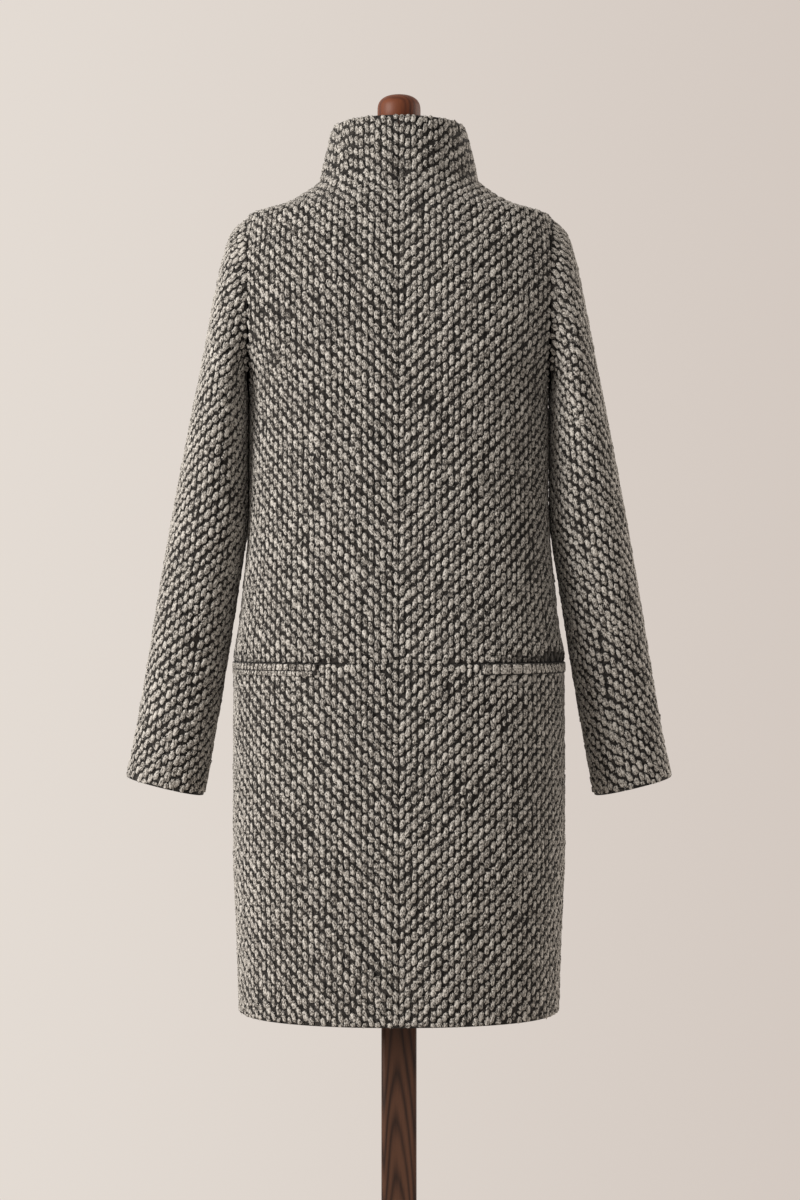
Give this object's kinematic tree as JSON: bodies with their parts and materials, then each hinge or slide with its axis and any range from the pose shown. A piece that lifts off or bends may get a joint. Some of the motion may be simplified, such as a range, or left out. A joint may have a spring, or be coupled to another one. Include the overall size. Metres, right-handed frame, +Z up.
{
  "type": "wool overcoat on a limbless dress form",
  "caption": "Knee-length wool overcoat with a grown-on funnel collar, hip seam with welt pockets and plain set-in sleeves, resting on a limbless dress form on a post.",
  "frame": {"origin": "on the floor under the middle of the base", "axes": "+Z up; the coat's back faces +Y, its front -Y and its left side +X"},
  "size_m": [0.603, 0.39, 1.537],
  "materials": {
    "wool_coating": "matte, thick napped wool in light grey tufts on a charcoal ground",
    "form_cover": "matte, plain linen cover",
    "walnut_stand": "satin, oiled dark walnut",
    "walnut_finial": "satin, oiled reddish walnut, turned"
  },
  "bodies": {
    "root": {"back_upper_left": "wool_coating", "front_upper_left": "wool_coating", "back_lower_left": "wool_coating", "front_lower_left": "wool_coating", "top_sleeve_left": "wool_coating", "under_sleeve_left": "wool_coating", "pocket_welt_left": "wool_coating", "back_upper_right": "wool_coating", "front_upper_right": "wool_coating", "back_lower_right": "wool_coating", "front_lower_right": "wool_coating", "top_sleeve_right": "wool_coating", "under_sleeve_right": "wool_coating", "pocket_welt_right": "wool_coating", "form_torso": "form_cover", "neck_cap": "walnut_stand", "finial": "walnut_finial", "post": "walnut_stand", "base": "walnut_stand"}
  },
  "joints": []
}
